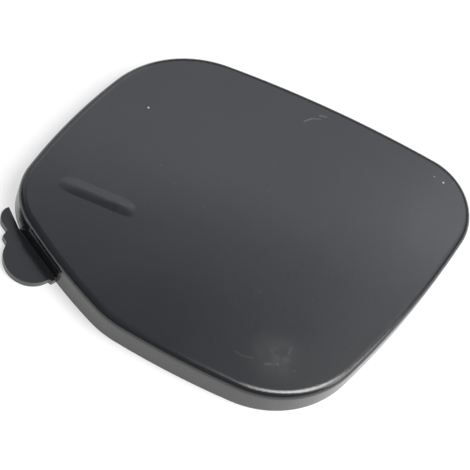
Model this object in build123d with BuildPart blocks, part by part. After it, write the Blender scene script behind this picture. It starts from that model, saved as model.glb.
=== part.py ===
from build123d import *
import math
import os

# Tow hook cover: a shallow crowned cap, moulded in one piece with its clip.
# Sizes are in millimetres and angles in degrees. The rim lies on Z = 0, the long
# sides run along X, and the origin is under the middle of the plan outline.

# Plan outline: a frame round the five unrounded corners, and their places in it.
# The far right corner fills the frame's own corner.
plan_length = 85.65         # along X, from the clip corner to the far right corner
plan_width = 66.0           # along Y, from the near left corner to the far right corner
near_left_inset = 28.25     # from the frame's left end
near_right_inset = 15.7     # from its right end
near_right_rise = 1.1       # from its front
far_left_inset = 12.85      # from its left end
far_left_drop = 3.8         # from its back
clip_corner_rise = 15.55    # from its front

# Outward bow at the middle of each side
front_bow = 1.3
right_bow = 2.75
back_bow = 2.3
left_bow = 2.4
clip_bow = 1.25

# Rounding of the corners in plan
near_left_radius = 21.0
near_right_radius = 21.2
far_right_radius = 12.5
far_left_radius = 23.1
clip_corner_radius = 11.6

# Shell
cover_height = 7.8          # rim to the top of the crown
crown_radius = 900.0        # gentle dome of the plate
plate_thickness = 2.2
skirt_thickness = 2.2
edge_radius = 1.5           # rounding from the plate down to the skirt
ceiling_radius = 0.8        # rounding inside, between plate and skirt
rim_radius = 0.3            # rounding of the skirt's outer foot

# Press ridge: a low thumb mark, highest near its head, that runs out into the plate
ridge_length = 15.9
ridge_width = 3.8
ridge_height = 0.24         # where the nose begins
ridge_slope = 4.0           # direction of the ridge from the X axis
ridge_inset_x = 7.4         # tail of the ridge, from the unrounded clip corner
ridge_inset_y = 6.6
ridge_tail_length = 3.5     # over which it rises out of the plate
ridge_tail_height = 0.15    # at the end of that rise
ridge_nose_length = 3.4     # over which it sinks back
ridge_end_sink = 0.05       # sides of the ridge below the plate at both ends
ridge_root = 1.0            # depth that the ridge reaches into the plate

# Clip tongue: a flat plate at rim level with two lobes, placed from the middle
# of the clip's upright along the skirt, and outwards from the skirt's face
clip_from_corner = 14.0     # middle of the upright, along its side
clip_root_margin = 0.3      # how far the clip's root stays short of the inside
tongue_thickness = 1.6
lobe_radius = 5.7           # half-moon lobe
lobe_shift = 1.6
lobe_standoff = 1.35
lobe_end = 47.0             # direction in which the lobe's arc ends
heel_notch = (6.6, 3.95)    # stepped edge between the two lobes
heel_tooth = (8.2, 3.7)
tip_notch = (8.8, 2.2)
tip_radius = 2.45           # small lobe at the tip
tip_shift = 10.4
tip_inset = 0.3             # its centre, inside the skirt's face
tip_end = -14.0             # direction in which its arc ends
slot_start = 0.1            # slot beside the skirt: the tongue's edge next to the upright

# Clip upright: a pad against the skirt, with both ends leaning to the tongue's tip
upright_length = 10.6       # at its top
upright_heel = 0.5          # how far its foot stays back at the end by the lobe
upright_toe = 2.6           # how far its foot runs on at the end by the tip
upright_drop = 0.05         # its top, below the rounding of the plate's edge
upright_proud = 0.25        # its face, outside the skirt
upright_foot_radius = 0.8   # hollow rounding where it meets the tongue


def rounded_outline(points):
    """Return the plan face through the corner points, bowed and rounded."""
    with BuildSketch() as outline:
        with BuildLine():
            for start, end, bow in zip(points, points[1:] + points[:1], side_bows):
                SagittaArc(start, end, -bow)
        make_face()
        for point, radius in zip(points, corner_radii):
            fillet(outline.vertices().sort_by_distance(point)[0], radius)
    return outline.sketch


def inset_outline(face, inset):
    """Return the plan face with every arc of its edge moved inwards."""
    with BuildSketch() as outline:
        with BuildLine():
            for arc in face.edges():
                points = [arc @ 0, arc @ 0.5, arc @ 1]
                ThreePointArc(*[p + (arc.arc_center - p).normalized() * inset for p in points])
        make_face()
    return outline.sketch


def skirt_plane(start, end, bow, along):
    """Return a plane on the skirt's face, with Y outward and X back along the side."""
    chord = end - start
    step = chord.normalized()
    outward = step.rotate(Axis.Z, -90)
    bow_radius = (chord.length**2 / 4 + bow**2) / (2 * bow)
    from_middle = along - chord.length / 2
    bulge = math.sqrt(bow_radius**2 - from_middle**2) - (bow_radius - bow)
    return Plane(origin=start + step * along + outward * bulge, x_dir=-step, z_dir=(0, 0, 1))


def cross_plane(plane, along):
    """Return a plane across the skirt, with X outward and Y up."""
    return Plane(
        origin=plane.from_local_coords(Vector(along, 0)),
        x_dir=plane.y_dir,
        z_dir=plane.x_dir,
    )


def side_plane(plane, out):
    """Return a plane along the skirt, with X along it, Y up and its normal inward."""
    return Plane(
        origin=plane.from_local_coords(Vector(0, out)),
        x_dir=plane.x_dir,
        z_dir=-plane.y_dir,
    )


def crown_point(point):
    """Return the point of the plate's top face above a point of the plan."""
    rise = math.sqrt(crown_radius**2 - point.X**2 - point.Y**2) - crown_radius
    return Vector(point.X, point.Y, cover_height + rise)


def ridge_plane(point):
    """Return the plane across the ridge at a point of its length, with Y up."""
    return Plane(crown_point(point), x_dir=ridge_step.rotate(Axis.Z, 90), z_dir=ridge_step)


def ridge_section(crest, side):
    """Return the ridge's arched section, with its crest and sides measured from the plate."""
    half = ridge_width / 2
    with BuildSketch() as section:
        with BuildLine():
            arch = ThreePointArc((half, side), (0, crest), (-half, side))
            Polyline(arch @ 1, (-half, -ridge_root), (half, -ridge_root), arch @ 0)
        make_face()
    return section.sketch


def upright_section():
    """Return the upright's section, from inside the skirt to its hollow foot."""
    foot_y = tongue_thickness + upright_foot_radius
    with BuildSketch() as section:
        with BuildLine():
            foot = CenterArc((foot_reach, foot_y), upright_foot_radius, 180, 90)
            Polyline(
                foot @ 1,
                (foot_reach, 0),
                (-clip_root, 0),
                (-clip_root, upright_height),
                (upright_proud, upright_height),
                foot @ 0,
            )
        make_face()
    return section.sketch


# Corners in plan, moved so that the rounded outline is centred on the origin
side_bows = [clip_bow, front_bow, right_bow, back_bow, left_bow]
corner_radii = [
    clip_corner_radius,
    near_left_radius,
    near_right_radius,
    far_right_radius,
    far_left_radius,
]
clip_corner = Vector(0, clip_corner_rise)
near_left = Vector(near_left_inset, 0)
near_right = Vector(plan_length - near_right_inset, near_right_rise)
far_right = Vector(plan_length, plan_width)
far_left = Vector(far_left_inset, plan_width - far_left_drop)
corners = [clip_corner, near_left, near_right, far_right, far_left]
middle = rounded_outline(corners).bounding_box().center()
corners = [corner - middle for corner in corners]
clip_corner, near_left, near_right, far_right, far_left = corners
plan = rounded_outline(corners)

# Places of the ridge and the clip
ridge_step = Vector(1, 0).rotate(Axis.Z, ridge_slope)
ridge_tail = clip_corner + Vector(ridge_inset_x, ridge_inset_y)
ridge_rise = ridge_tail + ridge_step * ridge_tail_length
ridge_head = ridge_tail + ridge_step * (ridge_length - ridge_nose_length)
ridge_nose = ridge_tail + ridge_step * ridge_length
clip_plane = skirt_plane(clip_corner, near_left, clip_bow, clip_from_corner)
clip_root = skirt_thickness - clip_root_margin
upright_height = crown_point(clip_plane.origin).Z - edge_radius - upright_drop
foot_reach = upright_proud + upright_foot_radius
foot_start = upright_heel - upright_length / 2
foot_end = upright_length / 2 + upright_toe

# Hollow inside the skirt, under a ceiling that follows the crown
with BuildPart() as hollow:
    with BuildSketch():
        add(inset_outline(plan, skirt_thickness))
    extrude(amount=cover_height)
    with Locations((0, 0, cover_height - crown_radius)):
        Sphere(crown_radius - plate_thickness, rotation=(90, 0, 0), mode=Mode.INTERSECT)
    fillet(hollow.faces().sort_by(Axis.Z)[-1].edges(), ceiling_radius)

# Upright of the clip, with its ends cut to their lean
with BuildPart() as upright:
    with BuildSketch(cross_plane(clip_plane, -upright_length / 2)):
        add(upright_section())
    extrude(amount=upright_length + upright_toe)
    with BuildSketch(side_plane(clip_plane, foot_reach)):
        with BuildLine():
            Polyline(
                (foot_start, 0),
                (foot_end, 0),
                (foot_end, tongue_thickness),
                (upright_length / 2, upright_height),
                (-upright_length / 2, upright_height),
                (foot_start, tongue_thickness),
                close=True,
            )
        make_face()
    extrude(amount=foot_reach + clip_root, mode=Mode.INTERSECT)

# Cover
with BuildPart() as cover:
    # Crowned block with rounded edges, hollowed from below
    with BuildSketch():
        add(plan)
    extrude(amount=cover_height)
    with Locations((0, 0, cover_height - crown_radius)):
        Sphere(crown_radius, rotation=(90, 0, 0), mode=Mode.INTERSECT)
    fillet(cover.faces().sort_by(Axis.Z)[-1].edges(), edge_radius)
    fillet(cover.faces().sort_by(Axis.Z)[0].edges(), rim_radius)
    add(hollow.part, mode=Mode.SUBTRACT)

    # Press ridge, flush with the plate at both ends
    for point, crest, side in (
        (ridge_tail, 0, -ridge_end_sink),
        (ridge_rise, ridge_tail_height, 0),
        (ridge_head, ridge_height, 0),
        (ridge_nose, 0, -ridge_end_sink),
    ):
        with BuildSketch(ridge_plane(point)):
            add(ridge_section(crest, side))
    loft(ruled=True)

    # Tongue of the clip, with its tip free of the skirt
    with BuildSketch(clip_plane):
        with BuildLine():
            lobe = CenterArc((lobe_shift, lobe_standoff), lobe_radius, 180, lobe_end - 180)
            tip = CenterArc((tip_shift, -tip_inset), tip_radius, 90, tip_end - 90)
            Polyline(lobe @ 1, heel_notch, heel_tooth, tip_notch, tip @ 0)
            Polyline(
                tip @ 1,
                (foot_end, slot_start),
                (foot_end, -clip_root),
                (foot_start, -clip_root),
                (foot_start, foot_reach),
                lobe @ 0,
            )
        make_face()
    extrude(amount=tongue_thickness)

    # Upright
    add(upright.part)

cover.part.label = "tow_hook_cover"
os.makedirs("parts", exist_ok=True)
export_step(cover.part, "parts/tow_hook_cover.step")
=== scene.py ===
"""Tow hook cover: a dark satin plastic cap on a white studio floor."""
import math

import bpy
from mathutils import Matrix, Vector

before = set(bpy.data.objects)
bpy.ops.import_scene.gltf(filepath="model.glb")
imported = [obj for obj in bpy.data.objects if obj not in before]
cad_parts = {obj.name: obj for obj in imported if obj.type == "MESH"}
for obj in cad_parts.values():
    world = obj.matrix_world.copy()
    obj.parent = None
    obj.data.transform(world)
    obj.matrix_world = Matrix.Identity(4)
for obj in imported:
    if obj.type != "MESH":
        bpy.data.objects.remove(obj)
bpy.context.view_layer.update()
scene = bpy.context.scene
MM = 0.001                  # m

# Camera: the photograph's view, with the picture's own slant
IMAGE_SIDE = 470            # pixels
PIXELS_PER_MM = 5.0         # at the aim point
VIEW_ELEVATION = 60.0       # degrees above the floor
VIEW_ROLL = 27.0            # degrees
VIEW_DISTANCE = 450.0       # mm
SENSOR_WIDTH = 36.0         # mm
AIM_POINT = (0.59, 1.97)    # mm, on the floor
AIM_PIXEL = (240.5, 228.5)  # where that point falls in the picture
CLIP_RANGE = (0.01, 50.0)   # m, nearest and farthest that the camera sees


def make_camera():
    """Make the camera."""
    data = bpy.data.cameras.new("camera")
    camera = bpy.data.objects.new("camera", data)
    scene.collection.objects.link(camera)
    elevation = math.radians(VIEW_ELEVATION)
    tilt = Matrix.Rotation(math.pi / 2 - elevation, 3, "X")
    turn = tilt @ Matrix.Rotation(math.radians(VIEW_ROLL), 3, "Z")
    right, up, back = turn.col
    half = IMAGE_SIDE / 2
    across = (half - AIM_PIXEL[0]) / PIXELS_PER_MM
    above = (AIM_PIXEL[1] - half) / PIXELS_PER_MM
    aim = Vector((*AIM_POINT, 0))
    place = aim + back * VIEW_DISTANCE + right * across + up * above
    camera.matrix_world = Matrix.Translation(place * MM) @ turn.to_4x4()
    data.sensor_width = SENSOR_WIDTH
    data.lens = PIXELS_PER_MM * VIEW_DISTANCE * SENSOR_WIDTH / IMAGE_SIDE
    data.clip_start, data.clip_end = CLIP_RANGE
    scene.camera = camera


# Light: radiance is what a mirror of the lamp would show, 1 being white
WORLD_RADIANCE = 0.105
WORLD_COLOUR = (0.95, 0.98, 1.0, 1.0)
WARM_WHITE = (1.0, 0.99, 0.97)
CLEAR_WHITE = (0.97, 0.99, 1.0)
COOL_WHITE = (0.94, 0.96, 1.0)
LAMPS = [
    # name, direction, distance m, width m, height m, radiance, colour
    ("key_softbox", (0.47, -0.03, 0.88), 0.8, 0.24, 0.36, 7.5, WARM_WHITE),
    ("top_softbox", (0.53, -0.04, 0.847), 0.8, 0.38, 0.70, 5.8, WARM_WHITE),
    ("front_softbox", (0.27, -0.33, 0.90), 0.8, 0.22, 0.20, 4.5, WARM_WHITE),
    ("side_softbox", (0.94, 0.02, 0.33), 0.8, 0.36, 0.34, 3.9, WARM_WHITE),
    ("corner_softbox", (0.22, 0.365, 0.905), 0.9, 0.20, 0.16, 0.95, CLEAR_WHITE),
    ("back_softbox", (-0.10, 0.675, 0.731), 0.9, 0.85, 0.42, 0.92, COOL_WHITE),
    ("ceiling_softbox", (-0.15, 0.46, 0.875), 0.9, 0.70, 0.16, 0.36, COOL_WHITE),
    ("right_softbox", (0.47, 0.53, 0.71), 0.9, 0.55, 0.40, 1.02, COOL_WHITE),
    ("left_softbox", (-0.74, 0.51, 0.45), 0.9, 0.85, 0.80, 0.65, CLEAR_WHITE),
]
FLOOR_COLOUR = 0.40
FLOOR_LIFT = 0.62           # added for the camera and mirrors, to make the floor white
FLOOR_REACH = 2.0           # m, from the middle to each side


def make_lamps():
    """Make the softboxes and the dim surroundings."""
    world = bpy.data.worlds.new("world")
    scene.world = world
    world.use_nodes = True
    background = world.node_tree.nodes["Background"]
    background.inputs["Color"].default_value = WORLD_COLOUR
    background.inputs["Strength"].default_value = WORLD_RADIANCE
    for name, direction, distance, width, height, radiance, colour in LAMPS:
        data = bpy.data.lights.new(name, "AREA")
        data.shape = "RECTANGLE"
        data.size = width
        data.size_y = height
        data.energy = radiance * math.pi * width * height
        data.color = colour
        lamp = bpy.data.objects.new(name, data)
        scene.collection.objects.link(lamp)
        away = Vector(direction).normalized()
        lamp.location = away * distance
        lamp.rotation_mode = "QUATERNION"
        lamp.rotation_quaternion = (-away).to_track_quat("-Z", "Y")


# Nodes
NOISE_RANGE = (0.25, 0.75)  # between which most values of a noise texture lie
MIX_SHARE, MIX_FIRST, MIX_SECOND, MIX_RESULT = 0, 6, 7, 2  # sockets for colours


def add_node(tree, kind, inputs=None, **settings):
    """Add a shader node with its settings, and set or link its inputs."""
    node = tree.nodes.new("ShaderNode" + kind)
    for name, value in settings.items():
        setattr(node, name, value)
    for key, value in (inputs or {}).items():
        if isinstance(value, bpy.types.NodeSocket):
            tree.links.new(value, node.inputs[key])
        else:
            node.inputs[key].default_value = value
    return node


def math_node(tree, operation, *values):
    """Return the result of a math node."""
    node = add_node(tree, "Math", dict(enumerate(values)), operation=operation)
    return node.outputs[0]


def vector_node(tree, operation, *values):
    """Return a vector math node."""
    return add_node(tree, "VectorMath", dict(enumerate(values)), operation=operation)


def scaled(tree, vector, factor):
    """Return a vector times a number."""
    inputs = {0: vector, "Scale": factor}
    return add_node(tree, "VectorMath", inputs, operation="SCALE").outputs[0]


def mix_colours(tree, share, first, second):
    """Return the first colour where the share is 0, and the second where it is 1."""
    inputs = {MIX_SHARE: share, MIX_FIRST: first, MIX_SECOND: second}
    return add_node(tree, "Mix", inputs, data_type="RGBA").outputs[MIX_RESULT]


def map_range(tree, value, start, end, low, high, **settings):
    """Return a value, moved from the range start to end into the range low to high."""
    inputs = {
        "Value": value,
        "From Min": start,
        "From Max": end,
        "To Min": low,
        "To Max": high,
    }
    return add_node(tree, "MapRange", inputs, **settings).outputs[0]


def fade(tree, value, full, none):
    """Return a mask that is 1 up to full and falls smoothly to 0 at none."""
    return map_range(tree, value, full, none, 1, 0, interpolation_type="SMOOTHSTEP")


def spread(tree, value, low, high):
    """Return a noise texture's value, spread from low to high."""
    return map_range(tree, value, *NOISE_RANGE, low, high)


def noise(tree, place, per_mm, detail, roughness):
    """Return a noise texture's value."""
    inputs = {
        "Vector": place,
        "Scale": per_mm,
        "Detail": detail,
        "Roughness": roughness,
    }
    return add_node(tree, "TexNoise", inputs).outputs[0]


def make_floor():
    """Make the white floor that keeps the cover's shadow."""
    side = FLOOR_REACH
    mesh = bpy.data.meshes.new("floor")
    corners = [(-side, -side, 0), (side, -side, 0), (side, side, 0), (-side, side, 0)]
    mesh.from_pydata(corners, [], [(0, 1, 2, 3)])
    floor = bpy.data.objects.new("floor", mesh)
    scene.collection.objects.link(floor)
    material = bpy.data.materials.new("floor_white")
    material.use_nodes = True
    tree = material.node_tree
    tree.nodes.clear()
    colour = (FLOOR_COLOUR, FLOOR_COLOUR, FLOOR_COLOUR, 1)
    diffuse = add_node(tree, "BsdfDiffuse", {"Color": colour})
    path = add_node(tree, "LightPath").outputs
    seen = math_node(tree, "MAXIMUM", path["Is Camera Ray"], path["Is Glossy Ray"])
    seen = math_node(tree, "MAXIMUM", seen, path["Is Transmission Ray"])
    strength = math_node(tree, "MULTIPLY", seen, FLOOR_LIFT)
    lift = add_node(tree, "Emission", {"Strength": strength})
    both = add_node(tree, "AddShader", {0: diffuse.outputs[0], 1: lift.outputs[0]})
    add_node(tree, "OutputMaterial", {"Surface": both.outputs[0]})
    mesh.materials.append(material)


# Plastic: a dark blue-grey moulding with a satin skin and the marks of handling
PLASTIC_COLOURS = ((0.0168, 0.0178, 0.0208, 1), (0.0207, 0.0218, 0.0254, 1))
PLASTIC_IOR = 1.62
SATIN_ROUGHNESS = (0.17, 0.22)
GRAIN_ROUGHNESS = (-0.02, 0.02)  # added by the grain
GRAIN_DEPTH = 0.002              # mm

# Noise textures: scale per mm, detail, roughness
GRAIN_NOISE = (3.2, 2.0, 0.6)    # grain of the mould
MOTTLE_NOISE = (0.16, 4.0, 0.6)  # mottle of the plastic's colour
HAZE_NOISE = (0.045, 2.0, 0.5)   # uneven gloss from handling
FILM_NOISE = (0.4, 1.0, 0.5)     # patches of the smudge

# Marks on the plate
CROWN_HEIGHT = 7.8          # mm, top of the plate
CROWN_RADIUS = 900.0        # mm
DUST_COLOUR = (0.55, 0.55, 0.53, 1)
DUST_ROUGHNESS = 0.8        # where the dust is full
SPECK_CORE = 0.4            # share of a speck's radius at full strength
SPECKS = [
    # x and y on the plate in mm, radius in mm, strength
    (-26.74, 12.97, 0.27, 0.95),
    (33.15, 29.38, 0.28, 0.70),
    (30.97, 29.65, 0.24, 0.28),
    (35.06, 30.45, 0.22, 0.10),
    (2.12, 8.16, 0.24, 0.06),
    (9.58, -12.98, 0.24, 0.06),
    (-19.10, 2.09, 0.22, 0.07),
    (-14.81, -0.06, 0.22, 0.05),
    (-7.93, -1.68, 0.22, 0.05),
    (18.62, -25.23, 0.30, 0.07),
    (19.75, -23.60, 1.00, 0.025),
    (22.14, -24.94, 0.26, 0.07),
]
STROKE_CORE = 0.3           # share of a stroke's half width at full strength
STROKES = [
    # start and end on the plate in mm, half width in mm, strength
    ((2.27, 26.90), (3.40, 28.30), 0.28, 0.09),
    ((3.40, 28.30), (4.97, 29.17), 0.26, 0.06),
    ((4.56, 29.88), (5.87, 30.31), 0.28, 0.09),
    ((16.52, -26.42), (17.50, -25.86), 0.32, 0.05),
    ((19.74, -20.74), (19.75, -22.25), 0.32, 0.035),
    ((10.32, -26.95), (11.92, -27.15), 0.26, 0.03),
    ((11.92, -27.15), (13.93, -26.46), 0.26, 0.03),
]
SMUDGE_CENTRE = (17.6, -24.0)  # mm
SMUDGE_RADII = (0.3, 7.0)      # mm, where it is full and where it ends
SMUDGE_STRENGTH = 0.026
SMUDGE_ROUGHNESS = 0.10        # added where the smudge is full
SMUDGE_PATCHES = (0.3, 1.0)    # thinnest and thickest


def plate_point(x, y):
    """Return the point of the plate above x and y, in mm."""
    return (x, y, CROWN_HEIGHT - (x * x + y * y) / (2 * CROWN_RADIUS))


def spot_mask(tree, place, centre, full, none):
    """Return a mask round a point of the plate."""
    distance = vector_node(tree, "DISTANCE", place, plate_point(*centre))
    return fade(tree, distance.outputs["Value"], full, none)


def stroke_mask(tree, place, start, end, half_width):
    """Return a mask along a straight stroke on the plate."""
    first, last = Vector(plate_point(*start)), Vector(plate_point(*end))
    step = last - first
    offset = vector_node(tree, "SUBTRACT", place, tuple(first)).outputs[0]
    share = vector_node(tree, "DOT_PRODUCT", offset, tuple(step / step.length_squared))
    share = add_node(tree, "Clamp", {"Value": share.outputs["Value"]}).outputs[0]
    nearest = scaled(tree, tuple(step), share)
    distance = vector_node(tree, "DISTANCE", offset, nearest)
    return fade(tree, distance.outputs["Value"], half_width * STROKE_CORE, half_width)


def mark_masks(tree, place):
    """Return the masks of the dust and of the smudge on the plate."""
    masks = []
    for x, y, radius, strength in SPECKS:
        mask = spot_mask(tree, place, (x, y), radius * SPECK_CORE, radius)
        masks.append(math_node(tree, "MULTIPLY", mask, strength))
    for start, end, half_width, strength in STROKES:
        mask = stroke_mask(tree, place, start, end, half_width)
        masks.append(math_node(tree, "MULTIPLY", mask, strength))
    dust = masks[0]
    for mask in masks[1:]:
        dust = math_node(tree, "MAXIMUM", dust, mask)
    patches = spread(tree, noise(tree, place, *FILM_NOISE), *SMUDGE_PATCHES)
    smudge = spot_mask(tree, place, SMUDGE_CENTRE, *SMUDGE_RADII)
    smudge = math_node(tree, "MULTIPLY", smudge, patches)
    film = math_node(tree, "MULTIPLY", smudge, SMUDGE_STRENGTH)
    return math_node(tree, "ADD", dust, film), smudge


def make_plastic():
    """Make the dark moulded plastic and return it."""
    material = bpy.data.materials.new("charcoal_plastic")
    material.use_nodes = True
    tree = material.node_tree
    shader = tree.nodes["Principled BSDF"]
    shader.inputs["IOR"].default_value = PLASTIC_IOR

    # Place on the part in millimetres
    place = scaled(tree, add_node(tree, "TexCoord").outputs["Object"], 1 / MM)

    # Colour: mottled plastic, under dust and a smudge
    dust, smudge = mark_masks(tree, place)
    mottle = noise(tree, place, *MOTTLE_NOISE)
    colour = mix_colours(tree, mottle, *PLASTIC_COLOURS)
    colour = mix_colours(tree, dust, colour, DUST_COLOUR)
    tree.links.new(colour, shader.inputs["Base Color"])

    # Gloss: satin, a little uneven, duller under the smudge and the dust
    grain = noise(tree, place, *GRAIN_NOISE)
    rough = spread(tree, noise(tree, place, *HAZE_NOISE), *SATIN_ROUGHNESS)
    rough = math_node(tree, "ADD", rough, spread(tree, grain, *GRAIN_ROUGHNESS))
    smudged = math_node(tree, "MULTIPLY", smudge, SMUDGE_ROUGHNESS)
    rough = math_node(tree, "ADD", rough, smudged)
    dusty = math_node(tree, "MULTIPLY", dust, DUST_ROUGHNESS)
    rough = math_node(tree, "MAXIMUM", rough, dusty)
    tree.links.new(rough, shader.inputs["Roughness"])

    # Relief of the grain
    relief = {"Height": grain, "Strength": 1.0, "Distance": GRAIN_DEPTH * MM}
    bump = add_node(tree, "Bump", relief)
    tree.links.new(bump.outputs[0], shader.inputs["Normal"])
    return material


make_camera()
make_lamps()
make_floor()
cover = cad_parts["tow_hook_cover"]
cover.data.materials.clear()
cover.data.materials.append(make_plastic())

scene.view_settings.view_transform = "Standard"
